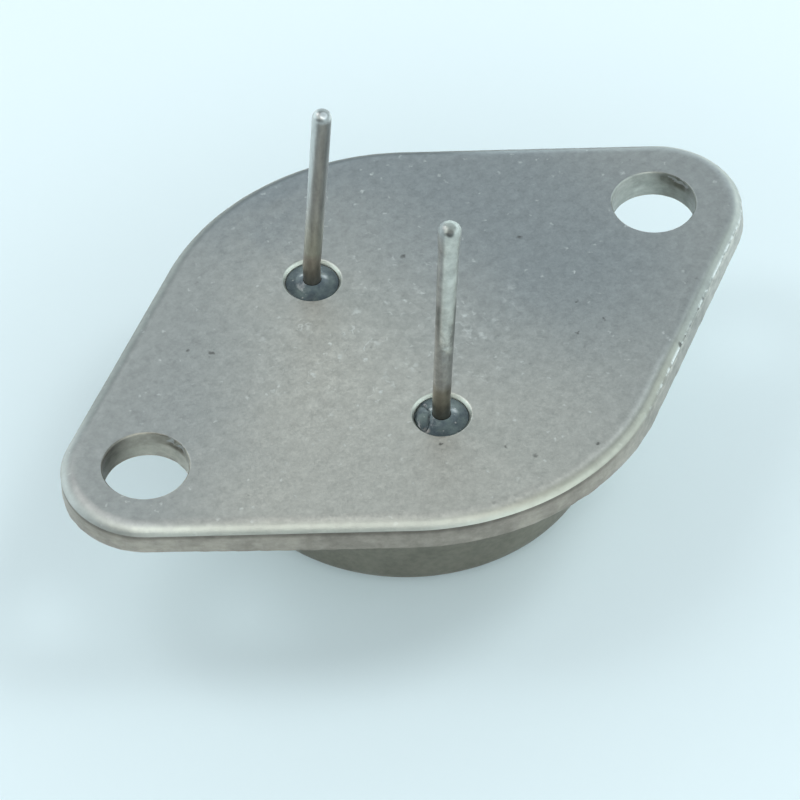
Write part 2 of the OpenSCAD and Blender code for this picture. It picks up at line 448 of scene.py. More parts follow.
def make_piece(bm, name, materials, nodes):
    """Turns a bmesh into a piece that rides on the part in place of its CAD nodes."""
    bmesh.ops.recalc_face_normals(bm, faces=bm.faces[:])
    piece = mesh_object(bm, name, materials)
    piece.data.shade_smooth()
    piece.data.set_sharp_from_angle(angle=SHARP_ANGLE)
    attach(piece, "root")
    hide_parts(*nodes)


# ---------------------------------------------------------------- material tools


class Value:
    """What a node works out, held so that plain arithmetic adds the nodes for it."""

    def __init__(self, socket):
        self.socket = socket
        self.tree = socket.id_data

    def __add__(self, other):
        return calc("ADD", self, other)

    def __sub__(self, other):
        return calc("SUBTRACT", self, other)

    def __rsub__(self, other):
        return calc("SUBTRACT", other, self)

    def __mul__(self, other):
        return calc("MULTIPLY", self, other)

    __rmul__ = __mul__

    def __abs__(self):
        return calc("ABSOLUTE", self)


def feed(node, inputs):
    """Sets a node's inputs, each to a plain value or to the Value that feeds it."""
    for key, value in inputs.items():
        if isinstance(value, Value):
            value.tree.links.new(value.socket, node.inputs[key])
        else:
            node.inputs[key].default_value = value


def add_node(tree, kind, inputs=None, **settings):
    """Adds a shader node."""
    node = tree.nodes.new(kind)
    for name, value in settings.items():
        setattr(node, name, value)
    feed(node, inputs or {})
    return node


def output_of(tree, kind, output, inputs=None, **settings):
    """Adds a shader node and returns what it works out at one of its outputs."""
    return Value(add_node(tree, kind, inputs, **settings).outputs[output])


def tree_of(*items):
    """The tree of the first item that is a Value."""
    return next(item.tree for item in items if isinstance(item, Value))


def new_material(name):
    """A material with only a Principled shader. Returns the material, its tree and the shader."""
    material = bpy.data.materials.new(name)
    material.use_nodes = True
    tree = material.node_tree
    tree.nodes.clear()
    shader = add_node(tree, "ShaderNodeBsdfPrincipled")
    add_node(tree, "ShaderNodeOutputMaterial", {"Surface": Value(shader.outputs["BSDF"])})
    return material, tree, shader


def millimetres(tree, stretch=(1, 1, 1)):
    """Object coordinates in millimetres, stretched for a pattern."""
    coords = output_of(tree, "ShaderNodeTexCoord", "Object")
    scale = tuple(factor / MM for factor in stretch)
    return output_of(tree, "ShaderNodeMapping", "Vector", {"Vector": coords, "Scale": scale})


def axes(vector):
    """A vector's X, Y and Z. In the part's millimetres, Z is the height over the mounting face."""
    node = add_node(vector.tree, "ShaderNodeSeparateXYZ", {"Vector": vector})
    return [Value(output) for output in node.outputs]


def calc(operation, a, b=0.0):
    """A sum, product or other calculation with two values."""
    return output_of(tree_of(a, b), "ShaderNodeMath", "Value", {0: a, 1: b}, operation=operation)


def strongest(first, *others):
    """The largest of several values."""
    for value in others:
        first = calc("MAXIMUM", first, value)
    return first


def remap(value, low, high, to_low=0.0, to_high=1.0):
    """Carries value smoothly from low..high to to_low..to_high and holds it there outside."""
    return output_of(
        value.tree, "ShaderNodeMapRange", "Result",
        {"Value": value, "From Min": low, "From Max": high, "To Min": to_low, "To Max": to_high},
        interpolation_type="SMOOTHSTEP")


def blend(factor, low, high):
    """A value that goes from low to high with a factor from 0 to 1."""
    return output_of(
        factor.tree, "ShaderNodeMix", 0, {0: factor, 2: low, 3: high}, data_type="FLOAT")


def mix_colour(factor, a, b, mode="MIX"):
    """Mixes two colours, each a plain one or a Value."""
    a, b = (item if isinstance(item, Value) else (*item, 1) for item in (a, b))
    return output_of(
        tree_of(factor, a, b), "ShaderNodeMix", 2, {0: factor, 6: a, 7: b},
        data_type="RGBA", blend_type=mode, clamp_result=False)


def grey_scale(colour, value):
    """Multiplies a colour by a value."""
    grey = output_of(
        value.tree, "ShaderNodeCombineColor", "Color", {0: value, 1: value, 2: value})
    return mix_colour(1.0, colour, grey, "MULTIPLY")


def noise_map(vector, scale, detail=3.0, roughness=0.55, distortion=0.0):
    """Cloudy noise from 0 to 1 with scale features a millimetre."""
    return output_of(
        vector.tree, "ShaderNodeTexNoise", "Fac",
        {"Vector": vector, "Scale": scale, "Detail": detail, "Roughness": roughness,
         "Distortion": distortion})


def spots(vector, scale, size, portion, softness):
    """Round spots that fill a portion of the cells of a grid with scale cells a millimetre. The size
    is a spot's radius in cells."""
    cells = add_node(vector.tree, "ShaderNodeTexVoronoi", {"Vector": vector, "Scale": scale})
    lucky = output_of(
        vector.tree, "ShaderNodeSeparateColor", 0, {"Color": Value(cells.outputs["Color"])})
    disc = remap(Value(cells.outputs["Distance"]), size * (1 - softness), size, 1.0, 0.0)
    return calc("LESS_THAN", lucky, portion) * disc


def vector_calc(operation, output, vector, other):
    """A calculation with a vector and a second one, or with a number where it is a scale."""
    key = "Scale" if operation == "SCALE" else 1
    return output_of(
        vector.tree, "ShaderNodeVectorMath", output, {0: vector, key: other}, operation=operation)


def distance_from(vector, place):
    """The distance in millimetres from a place. Two numbers stand for one on the mounting face."""
    return vector_calc("DISTANCE", "Value", vector, (*place, 0)[:3])


def along(vector, direction):
    """How far a place lies along a direction."""
    return vector_calc("DOT_PRODUCT", "Value", vector, tuple(direction))


def wobble(vector, scale, amount):
    """The coordinates, bent by noise by up to about an amount in millimetres."""
    pattern = output_of(
        vector.tree, "ShaderNodeTexNoise", "Color",
        {"Vector": vector, "Scale": scale, "Detail": 1.0})
    centred = vector_calc("SUBTRACT", "Vector", pattern, (0.5, 0.5, 0.5))
    return vector_calc("ADD", "Vector", vector, vector_calc("SCALE", "Vector", centred, 3 * amount))


def spot_at(vector, place, radius, softness):
    """One round spot of a radius in millimetres round a place."""
    return remap(distance_from(vector, place), radius * (1 - softness), radius, 1.0, 0.0)


def thin_lines(vector, scale, width):
    """Fine curved lines where smooth noise crosses its middle."""
    return remap(abs(noise_map(vector, scale, 1.0, 0.5) - 0.5), 0.0, width, 1.0, 0.0)


def vary(pattern, amount):
    """A pattern's departure from 0.5, times an amount."""
    return (pattern - 0.5) * amount


def bump(height, distance):
    """A bump whose height of 1 stands distance metres."""
    return output_of(
        height.tree, "ShaderNodeBump", "Normal",
        {"Height": height, "Distance": distance, "Strength": 1.0})


# ---------------------------------------------------------------- finishes
# The ranges over x, y and height are places on the part in millimetres, and so are the radii of
# spots. A shade is a share of the base colour.


def set_metal(shader, colour, roughness, relief, relief_height):
    """Gives a metal its colour, its roughness and its fine relief."""
    feed(shader, {
        "Base Color": colour,
        "Metallic": 1.0,
        "Roughness": roughness,
        "Normal": bump(relief, relief_height),
    })


def tarnished_and_shaded(flat, finish):
    """The plating's colour: warm in the middle, darker and cooler to the far right and the far
    left, partly real tarnishing and partly painted shade.
    """
    x, y, _ = axes(flat)
    drift = vary(noise_map(flat, 0.22, 4.0, 0.6, 0.5), 4.0)
    tarnish_and_shade = remap(along(flat, (1, 0.25, 0)) + drift, -5.0, 9.0, 0.0, 0.95)
    tarnish_and_shade += remap(along(flat, (-0.7, 0.7, 0)) + drift, 3.0, 11.0, 0.0, 0.58)
    tarnish_and_shade *= remap(y, -10.0, -1.0, 0.6, 1.0)
    tarnish_and_shade *= remap(x, 11.0, 17.0, 1.0, 0.75)
    return mix_colour(tarnish_and_shade, finish.plate_warm, finish.plate_tarnish_and_shade)


def bright_marks(flat, bent, scuffed):
    """Flecks and scratches where the plate is scuffed, specks all over it, and the larger dots."""
    flecks = spots(bent, 1.1, 0.26, 0.5, 0.85) * scuffed
    specks = spots(bent, 2.4, 0.3, 0.14, 0.9) * 0.6
    scratches = thin_lines(bent, 0.8, 0.03) * scuffed
    scratches *= remap(noise_map(flat, 1.1), 0.5, 0.62, 0.0, 0.7)
    dots = [spot_at(bent, place, radius, 0.95) for place, radius in BRIGHT_DOTS]
    return strongest(flecks, specks, scratches, *dots)


def dark_marks(bent):
    """Faint pits all over the plate, and the larger ones."""
    faint = spots(bent, 0.9, 0.12, 0.3, 0.9) * 0.35
    pits = [spot_at(bent, place, radius * PIT_SPREAD, 0.9) for place, radius in DARK_PITS]
    return strongest(faint, *pits)


def clear_of_holes(flat):
    """1 on the open plate, and 0 on the rims of the mounting holes and the seals."""
    clear = 1.0
    for centre, _, _ in HOLE_LIGHT:
        clear *= remap(distance_from(flat, (centre, 0)), HOLE_R / MM + 0.2, HOLE_R / MM + 0.6)
    for place in COLLARS:
        clear *= 1 - spot_at(flat, place, COLLAR_R + 0.5, 0.1)
    return clear


def roll_painted_light(flat, clear, far_side, left_end):
    """Painted light on the rolled edge: a highlight on the near side, shade on the far side,
    and their own painted light at the two ends and along the inner edge on the right."""
    x, y, height = axes(flat)
    fallen = calc("POWER", height * -1.0, 0.5)
    # A painted highlight on the near side, weaker to the right and stronger at the left end; inner
    # adds one along the roll's inner edge on the near right
    near = remap(x, -1.0, 9.0, 1.0, 0.72) * remap(x, -18.0, -13.0, 1.3, 1.0)
    inner = remap(fallen, 0.38, 0.2, 0.0, 0.25) * remap(x, -2.0, 6.0, 1.0, 2.5)
    near += inner * remap(y, -7.0, -4.0, 1.0, 0.0)
    # Painted shade on the far side, with its own painted light at the two ends
    painted_roll_light = blend(far_side, near, remap(x, -8.0, 2.0, 0.56, 0.45))
    painted_roll_light = blend(remap(x, 16.5, 18.5), painted_roll_light, 1.0)
    painted_roll_light = blend(remap(x, 8.0, 11.0) * remap(height, -0.16, -0.04), painted_roll_light, 1.0)
    painted_roll_light = blend(left_end, painted_roll_light, remap(height, -0.05, -0.3, 0.74, 1.1))
    near_left = remap(x, -16.0, -18.0) * remap(y, 1.0, -1.0)
    painted_roll_light *= blend(near_left, 1.0, remap(height, -0.3, -0.06, 0.92, 1.25))
    return blend(remap(fallen, 0.0, 0.26) * clear, 1.0, painted_roll_light)


def seal_rim_highlights(colour, flat, finish):
    """Paints a highlight on the pale rim round each seal, brightest behind the pin."""
    for place in COLLARS:
        behind = along(flat, BEHIND) - BEHIND.xy.dot(place)
        pale = grey_scale(finish.burnish_and_highlight, remap(behind, -0.2, 0.9, 0.5, 1.5))
        colour = mix_colour(spot_at(flat, place, COLLAR_R, 0.06), colour, pale)
    return colour


def edge_pits(colour, tree):
    """Paints the pits in the edge on the near right, from the mounting face down."""
    column = millimetres(tree, stretch=(1, 1, 0))
    for place, radius in EDGE_PITS:
        colour = mix_colour(spot_at(column, place, radius, 0.6) * 0.75, colour, DARK_MARK)
    return colour


def plate_face(flat, grain, finish):
    """The colour of the open plate: its tarnish, its mottling and its marks."""
    bent = wobble(flat, 4.0, 0.12)
    scuffed = spot_at(flat, SCUFFED, 9.5, 0.7) * remap(noise_map(flat, 0.5, 3.0), 0.35, 0.6)
    mottles = vary(noise_map(bent, 1.8, 2.0, 0.7), remap(scuffed, 0.0, 1.0, 0.48, 0.75))
    shade = mottles + 1.0 + vary(grain, 0.3) + scuffed * 0.05
    colour = grey_scale(tarnished_and_shaded(flat, finish), shade)
    colour = mix_colour(bright_marks(flat, bent, scuffed) * 0.6, colour, PALE_MARK)
    return mix_colour(dark_marks(bent) * 0.7, colour, DARK_MARK)


def plate_material(finish):
    """Dull mottled plating of the flange's faces and rolled edge."""
    material, tree, shader = new_material("dull_plating")
    flat = millimetres(tree)
    grain = noise_map(flat, 6.0, 2.0, 0.7)
    streaks = noise_map(flat, 1.6, 4.0, 0.7)
    x, y, height = axes(flat)
    clear = clear_of_holes(flat)
    on_roll = remap(height, -0.03, -0.2) * clear
    far_side = remap(y, -4.0, 1.0)
    left_end = remap(x, -14.5, -17.5) * far_side
    # The burnished colour on the roll: partly real wear and partly a painted highlight
    rubbed_and_highlit = on_roll * remap(streaks, 0.3, 0.7, 0.4, 0.75) * remap(left_end, 0.0, 1.0, 1.0, 0.3)
    colour = mix_colour(rubbed_and_highlit, plate_face(flat, grain, finish), finish.burnish_and_highlight)
    colour = grey_scale(colour, roll_painted_light(flat, clear, far_side, left_end))
    warmer = on_roll * (remap(x, -7.0, 0.0) * remap(x, 13.0, 8.0))
    colour = mix_colour(warmer, colour, finish.warm_tint, "MULTIPLY")
    # A painted patchy highlight low on the roll on the near right
    patchy_highlight = remap(height, -0.3, -0.42) * remap(streaks, 0.42, 0.58, 0.0, 0.85)
    patchy_highlight *= remap(x, 5.5, 8.5)
    colour = mix_colour(patchy_highlight * (1 - far_side), colour, PATCHY_HIGHLIGHT)
    colour = seal_rim_highlights(edge_pits(colour, tree), flat, finish)
    roughness = remap(grain, 0.25, 0.75, 0.42, 0.54) - rubbed_and_highlit * 0.15
    set_metal(shader, colour, roughness, grain, 0.008 * MM)
    return material


def in_hole(tree, centre):
    """1 on the wall of the mounting hole whose centre is given in millimetres."""
    return spot_at(millimetres(tree, stretch=(1, 1, 0)), (centre, 0), HOLE_R / MM + 0.3, 0.05)


def hole_walls(colour, tree, finish):
    """Paints the mounting holes' bright walls with painted shade on one side of each, and the
    dark tear in each, its darkness painted shade in the scar's hollow.
    """
    sideways = along(millimetres(tree), SIDEWAYS)
    squat = millimetres(tree, stretch=(1, 1, 3))
    for centre, dark_end, light in HOLE_LIGHT:
        from_centre = sideways - SIDEWAYS.x * centre
        shade = remap(from_centre, dark_end, dark_end * -0.1, 0.45, light)
        colour = mix_colour(in_hole(tree, centre), colour, grey_scale(finish.hole_wall, shade))
        # Painted shade in the torn scar's hollow
        torn = spot_at(squat, (centre + SCAR.x, SCAR.y, 3 * SCAR.z), 1.5, 0.5)
        colour = mix_colour(torn * 0.5, colour, (0.1, 0.09, 0.07))
    return colour


def punched_material(finish):
    """Torn steel of the side wall and the holes' walls, with a burnish on it."""
    material, tree, shader = new_material("punched_steel")
    flat = millimetres(tree)
    tears = noise_map(millimetres(tree, stretch=(1, 1, 2.2)), 1.6, 4.0, 0.65)
    blotches = noise_map(flat, 0.7, 4.0, 0.7)
    x, _, height = axes(flat)
    # Painted shade in the crease under the roll, fainter to the right
    crease = remap(abs(height + 0.5), 0.04, 0.26, 0.45, 0.0) * remap(x, 0.0, 5.0, 1.0, 0.25)
    colour = mix_colour(crease, finish.punched, (0.06, 0.05, 0.04))
    colour = hole_walls(colour, tree, finish)

    # Painted light along the side wall: darker from the left end to the middle, lighter in stretches
    # to the right
    painted_wall_light = remap(x, -5.0, -1.0, 0.0, 0.2) + remap(x, 2.5, 5.0, 0.0, 0.25)
    painted_wall_light += remap(x, 11.0, 16.0, 0.0, 0.3)
    shade = remap(tears, 0.3, 0.7, -0.1, 0.1) + remap(blotches, 0.3, 0.7, 0.84, 1.14)
    shade *= remap(x, -16.0, -9.0, 1.07, 0.85) + painted_wall_light
    shade *= remap(height, -1.1, -0.7, 1.04, 0.95)
    # A painted patchy highlight on the upper part of the wall on the right, outside the right hole
    patchy_highlight = remap(height, -0.9, -0.5, 0.0, 0.9) * remap(x, 5.5, 8.5)
    patchy_highlight *= 1 - in_hole(tree, HOLE_X / MM)
    patchy_highlight *= remap(tears, 0.4, 0.62, 0.2, 1.0)
    colour = grey_scale(colour, shade + patchy_highlight)
    for start, end in ((2.0, 8.0), (7.0, 12.0)):
        colour = mix_colour(remap(x, start, end), colour, finish.cool_tint, "MULTIPLY")
    set_metal(shader, colour, 0.4, tears, 0.03 * MM)
    return material


def can_material(finish):
    """Dark plating of the drawn can."""
    material, tree, shader = new_material("can_plating")
    flat = millimetres(tree)
    grain = noise_map(millimetres(tree, stretch=(1, 1, 1.5)), 3.0, 3.0, 0.6)
    shade = remap(noise_map(flat, 0.5, 4.0, 0.6), 0.3, 0.7, 0.9, 1.1)
    shade += remap(grain, 0.3, 0.7, -0.08, 0.08)
    shade += remap(axes(flat)[0], -2.0, 7.0, 0.0, 0.25)
    set_metal(shader, grey_scale(finish.can_steel, shade), 0.45, grain, 0.012 * MM)
    return material


def glass_material(finish):
    """Dark opaque sealing glass with two painted soft reflections, crumbs, a pale lobe and a chip.
    """
    material, tree, shader = new_material("sealing_glass")
    flat = millimetres(tree)
    clouds = noise_map(flat, 1.6, 4.0, 0.6)
    colour = mix_colour(remap(clouds, 0.3, 0.8), finish.glass, finish.pale_glass)
    for place in COLLARS:
        # Painted reflections on each bead beside its pin
        for offset, radius in PAINTED_REFLECTIONS:
            painted_reflection = spot_at(flat, place + offset, radius, 0.9) * 0.75
            colour = mix_colour(painted_reflection, colour, (0.45, 0.52, 0.54))
    colour = mix_colour(spot_at(flat, LOBE, 0.4, 0.6), colour, finish.pale_glass)
    colour = mix_colour(spots(flat, 4.0, 0.28, 0.12, 0.8) * 0.5, colour, (0.5, 0.52, 0.5))
    colour = mix_colour(spot_at(flat, CHIP, 0.3, 0.6) * 0.9, colour, finish.plate_warm)
    waves = noise_map(flat, 2.5, 3.0)
    feed(shader, {
        "Base Color": colour, "Roughness": 0.15, "IOR": 1.6, "Normal": bump(waves, 0.035 * MM)})
    return material


def from_middle(flat, place, axis):
    """How far to the right of a leaning pin's middle line a place lies, as the camera sees it."""
    level = SIDEWAYS.copy()
    level.z = -SIDEWAYS.dot(axis) / axis.z
    return along(flat, level) - level.dot(place) / MM


def stain_foot(colour, flat, stain, height):
    """Stains a pin's foot up to a height in millimetres."""
    edge = axes(flat)[2] + vary(noise_map(flat, 1.5), 0.5)
    return mix_colour(remap(edge, height - 0.35, height + 0.35, 1.0, 0.0), colour, stain)


def pin_material(finish, place, axis, tip):
    """Dull alloy of a bare pin, brown where it leaves the glass, with painted highlights on its
    sides and a painted glint near its tip.
    """
    material, tree, shader = new_material("bare_pin_alloy")
    flat = millimetres(tree)
    height = axes(flat)[2]
    streaks = noise_map(millimetres(tree, stretch=(1, 1, 0.2)), 4.0, 3.0)
    grain = noise_map(flat, 5.0, 3.0, 0.7)
    colour = mix_colour(remap(height, 2.0, 6.0), finish.pin_low, finish.pin)
    colour = stain_foot(colour, flat, finish.pin_foot, 2.0)
    # A painted glint near the pin's tip
    painted_glint = spot_at(flat, tip / MM + Vector((-0.06, -0.2, -0.05)), 0.24, 0.5)
    colour = mix_colour(painted_glint, colour, (0.95, 0.95, 0.95))
    right = from_middle(flat, place, axis)
    # Painted highlights down both sides of the pin, as the camera sees them
    painted_side_light = remap(right, 0.2, 0.42, 0.0, 1.6) + remap(right, -0.2, -0.42, 0.0, 0.6)
    painted_side_light *= remap(height, 2.0, 4.0)
    shade = remap(streaks, 0.3, 0.7, 0.85, 1.1) + vary(grain, 0.3) + painted_side_light
    set_metal(shader, grey_scale(colour, shade), 0.34, grain, 0.01 * MM)
    return material


def tin_material(finish, place, axis, tip):
    """Pale, lumpy old solder on the base pin, and bare alloy below it."""
    material, tree, shader = new_material("tinned_pin")
    flat = millimetres(tree)
    height = axes(flat)[2]
    patches = noise_map(flat, 1.4, 4.0, 0.65)
    bare = remap(height + vary(patches, 5.0), 4.2, 6.2, 1.0, 0.0)
    right = from_middle(flat, place, axis)
    tin = mix_colour(remap(right, -0.36, -0.2, 1.0, 0.0), finish.tin, finish.pin)
    # Darker along both sides, as the camera sees them, round 6 mm up
    darker_side_bands = remap(abs(right), 0.26, 0.4) * remap(abs(height - 6.0), 0.8, 1.8, 0.7, 0.0)
    tin = mix_colour(darker_side_bands, tin, (0.12, 0.13, 0.12))
    colour = mix_colour(bare, tin, finish.pin)
    colour = stain_foot(colour, flat, finish.tin_foot, 2.1)
    # A painted reflection of the dark camera side on the front of the tip
    painted_camera_reflection = spot_at(flat, tip / MM + Vector((-0.26, -0.38, -0.17)), 0.27, 0.6) * 0.8
    colour = mix_colour(painted_camera_reflection, colour, (0.08, 0.08, 0.08))
    colour = grey_scale(colour, remap(patches, 0.3, 0.7, 0.8, 1.15))
    set_metal(shader, colour, remap(bare, 0.0, 1.0, 0.38, 0.34), patches, 0.05 * MM)
    return material


# ---------------------------------------------------------------- pieces


def flange_outline(bm, spacing):
    """Draws the plate's outline, four arcs joined by straight edges, and returns its face."""
    sides = (
        (OUTLINE_X + HOLE_X, END_R, 2 * TANGENT),
        (OUTLINE_X, CENTRE_R, math.pi - 2 * TANGENT),
        (OUTLINE_X - HOLE_X, END_R, 2 * TANGENT),
        (OUTLINE_X, CENTRE_R, math.pi - 2 * TANGENT),
    )
    angle = -TANGENT
    point = bm.verts.new(ring_point(OUTLINE_X + HOLE_X, END_R, angle))
    for centre_x, radius, sweep in sides:
        steps = math.ceil(radius * sweep / spacing)
        arc = bmesh.ops.spin(
            bm, geom=[point], cent=(centre_x, 0, 0), axis=UP, dvec=(0, 0, 0), angle=sweep,
            steps=steps, use_merge=False, use_duplicate=False)
        end = added(arc, bmesh.types.BMVert, "geom_last")[0]
        angle += sweep
        ahead = bmesh.ops.extrude_vert_indiv(bm, verts=[end])
        point = ahead["verts"][0]
        heading = Vector((-math.sin(angle), math.cos(angle), 0))
        bmesh.ops.translate(bm, verts=[point], vec=heading * STRAIGHT)
    divide_long(bm, bm.edges[:], spacing)
    bmesh.ops.remove_doubles(bm, verts=bm.verts[:], dist=0.001 * MM)
    return cap(bm, bm.edges[:], UP)


def hole_tube(radius, rim_width, rim_depth, rim_round):
    """The wall of a hole with a rim, and a flat ring on each face of the plate."""
    flat_r = radius + rim_width + FLAT_RING
    corners = (
        (flat_r, 0, 0),
        (radius + rim_width, 0, rim_round),
        (radius, -rim_depth, rim_round),
        (radius, -FLANGE_T, 0.05 * MM),
        (flat_r, -FLANGE_T, 0),
    )
    return lathe(corners, steps=160, longest=0.09 * MM)


def open_edges(bm, height):
    """The edges at a height that bound an opening in the shell."""
    return [
        edge for edge in bm.edges
        if edge.is_boundary and all(abs(vert.co.z - height) < 0.001 * MM for vert in edge.verts)
    ]


class TRANSISTOR_OT_flange(bpy.types.Operator):
    """Builds the flange with its rolled edge, creased side wall and punched holes"""

    bl_idname = "transistor.flange"
    bl_label = "Flange"

    def execute(self, context):
        size = context.scene.transistor_flange
        finish = context.scene.transistor_finish
        bm = bmesh.new()
        self.add_blank(bm, size)
        self.add_holes(bm, size)
        self.crease_and_tear(bm, size)
        self.tear_holes(bm, size)
        for face in bm.faces:
            middle = face.calc_center_median()
            outer_wall = abs(face.normal.z) < UPRIGHT and middle.z < -size.roll_depth
            in_hole = from_hole(middle) < HOLE_R + HOLE_MARGIN
            face.material_index = int(in_hole or outer_wall)
        make_piece(
            bm, "flange_plate", [plate_material(finish), punched_material(finish)],
            ["header_flange"])
        return {"FINISHED"}

    def add_blank(self, bm, size):
        """The plate's side wall with its rolled upper edge and its rounded lower edge."""
        top = flange_outline(bm, size.spacing)
        bmesh.ops.translate(bm, verts=bm.verts[:], vec=(0, 0, -size.roll_depth))
        loop = list(top.edges)
        wall = FLANGE_T - size.roll_depth - size.foot_round
        row = (wall - 2 * CREASE_H) / size.wall_rows
        for height in [CREASE_H] * 2 + [row] * size.wall_rows:
            loop = drop(bm, loop, height)
        bottom = cap(bm, loop, -UP)
        for face, width, depth, count in (
            (top, size.roll_width, size.roll_depth, size.roll_steps),
            (bottom, size.foot_round, size.foot_round, FOOT_STEPS),
        ):
            inset_steps(bm, face, arc_steps(width, depth, count) + [(FLAT_RING, 0)])
        bmesh.ops.delete(bm, geom=[top, bottom], context="FACES_ONLY")

    def add_holes(self, bm, size):
        """Sets the walls of the four holes into the plate and fills its two faces round them."""
        for x in (-HOLE_X, HOLE_X):
            tube = hole_tube(HOLE_R, size.hole_round, size.hole_round, 0.03 * MM)
            join_into(bm, tube, (x, 0, 0))
        for centre, seal_r in SEALS.values():
            tube = hole_tube(seal_r, size.collar_width, size.collar_depth, 0.09 * MM)
            join_into(bm, tube, centre)
        for height, facing in ((0, UP), (-FLANGE_T, -UP)):
            bmesh.ops.triangle_fill(
                bm, use_beauty=True, edges=open_edges(bm, height), normal=facing)

    def crease_and_tear(self, bm, size):
        """Presses the crease under the roll into the outer wall and roughens the torn walls."""
        bm.normal_update()
        moves = []
        # Only points on upright faces move, and none near the mounting face or the lower edge
        for vert in bm.verts:
            outward = Vector((vert.normal.x, vert.normal.y, 0))
            depth = -vert.co.z
            if outward.length < 0.5 or not 0.1 * MM < depth < FLANGE_T - 0.02 * MM:
                continue
            # The crease is fainter to the right of the middle
            below_roll = depth - size.roll_depth
            crease = max(0, 1 - abs(below_roll - CREASE_H) / CREASE_H)
            crease *= 1 - 0.7 * clamp(vert.co.x / (5 * MM))
            # The tears start over halfway down, and the whole wall is slightly wavy
            torn = clamp((depth - 0.6 * FLANGE_T) / (0.3 * FLANGE_T))
            tear = torn * (ripple(vert.co, 0.35 * MM) - 0.4)
            wave = 0.01 * MM * ripple(vert.co, 1.5 * MM, 7)
            push = size.roughness * tear - size.crease * crease + wave
            # The outer wall leans out, except at the left end
            if from_hole(vert.co) > HOLE_R + 0.5 * MM:
                lean = clamp(below_roll / (FLANGE_T - size.roll_depth))
                push += size.flare * lean * clamp((vert.co.x + 17 * MM) / (6 * MM))
            moves.append((vert, outward.normalized() * push))
        for vert, move in moves:
            vert.co += move

    def tear_holes(self, bm, size):
        """Digs a ragged scar in the upper part of each mounting hole's wall, and a few shallow
        tears along its foot."""
        for x in (-HOLE_X, HOLE_X):
            scar = Vector((x, 0, 0)) + SCAR * MM
            for vert in bm.verts:
                outward = Vector((vert.co.x - x, vert.co.y, 0))
                if outward.length > HOLE_R + HOLE_MARGIN:
                    continue
                reach = vert.co - scar
                reach.z *= SCAR_SQUASH
                ragged = 0.6 + ripple(vert.co, 0.3 * MM, x)
                depth = max(0, 1 - reach.length / SCAR_REACH) * ragged
                if vert.co.z < -1.1 * MM:
                    depth += 0.12 * max(0, ripple(vert.co, 0.8 * MM, 5))
                vert.co += outward.normalized() * size.scar * depth


class TRANSISTOR_OT_can(bpy.types.Operator):
    """Builds the drawn can with its welded rim"""

    bl_idname = "transistor.can"
    bl_label = "Can"

    def execute(self, context):
        size = context.scene.transistor_can
        rim_r = CAN_HIGH.x
        inner_r = size.wall_r - size.sheet
        top = CAN_HIGH.z
        floor = CAN_LOW.z
        corners = (
            (0, floor, 0),
            (size.wall_r, floor, size.corner),
            (size.wall_r, top - size.sheet, size.rim_bend),
            (rim_r, top - size.sheet, 0.1 * MM),
            (rim_r, top, 0.06 * MM),
            (inner_r, top, size.rim_bend),
            (inner_r, floor + size.sheet, size.corner - size.sheet),
            (0, floor + size.sheet, 0),
        )
        bm = lathe(corners, size.steps, longest=0.5 * MM)
        make_piece(
            bm, "can_shell", [can_material(context.scene.transistor_finish)],
            ["can"])
        return {"FINISHED"}


class TRANSISTOR_OT_glass(bpy.types.Operator):
    """Builds the two glass seals round the pins"""

    bl_idname = "transistor.glass"
    bl_label = "Glass seals"

    def execute(self, context):
        size = context.scene.transistor_glass
        material = glass_material(context.scene.transistor_finish)
        for name, (centre, seal_r) in SEALS.items():
            inner_r = PIN_R - 0.04 * MM
            outer_r = seal_r - 0.01 * MM
            corners = (
                (inner_r, size.climb, 0),
                (PIN_R + size.skirt_width, -size.skirt, 0.45 * MM),
                (outer_r, -size.recess, 0.05 * MM),
                (outer_r, -FLANGE_T, 0),
                (inner_r, -FLANGE_T - size.bulge, 0),
            )
            bm = lathe(corners, steps=128, longest=0.06 * MM, closed=True)
            if name == "base":
                self.add_lobe(bm, size)
            bmesh.ops.translate(bm, verts=bm.verts[:], vec=centre)
            make_piece(bm, name + "_glass_bead", [material], [name + "_seal"])
        return {"FINISHED"}

    def add_lobe(self, bm, size):
        """Raises an oval lobe on the left of the bead and cuts the crack that parts it off."""
        # Half the lobe's width and depth. Its middle is left of the pin and slightly nearer
        width, depth = 0.34 * MM, 0.8 * MM
        for vert in bm.verts:
            if vert.co.z < -0.6 * MM:
                continue
            right = SIDEWAYS.dot(vert.co) + 0.93 * MM
            back = BEHIND.dot(vert.co) + 0.1 * MM
            away = math.hypot(right / width, back / depth) + 0.12 * ripple(vert.co, 0.3 * MM)
            raised = size.lobe * max(0, 1 - away ** 2)
            cut = size.crack * math.exp(-((away - 1.08) / 0.12) ** 2)
            vert.co.z += raised - cut


def lean_pin(bm, place, axis, size):
    """Stands a pin in its seal and leans all of it above the bend along axis."""
    full = UP.rotation_difference(axis)
    bend = Vector((0, 0, size.bend))
    for vert in bm.verts:
        bent = clamp((vert.co.z - size.bend) / size.bend_span + 0.5)
        turn = Quaternion().slerp(full, bent * bent * (3 - 2 * bent))
        vert.co = bend + turn @ (vert.co - bend) + place


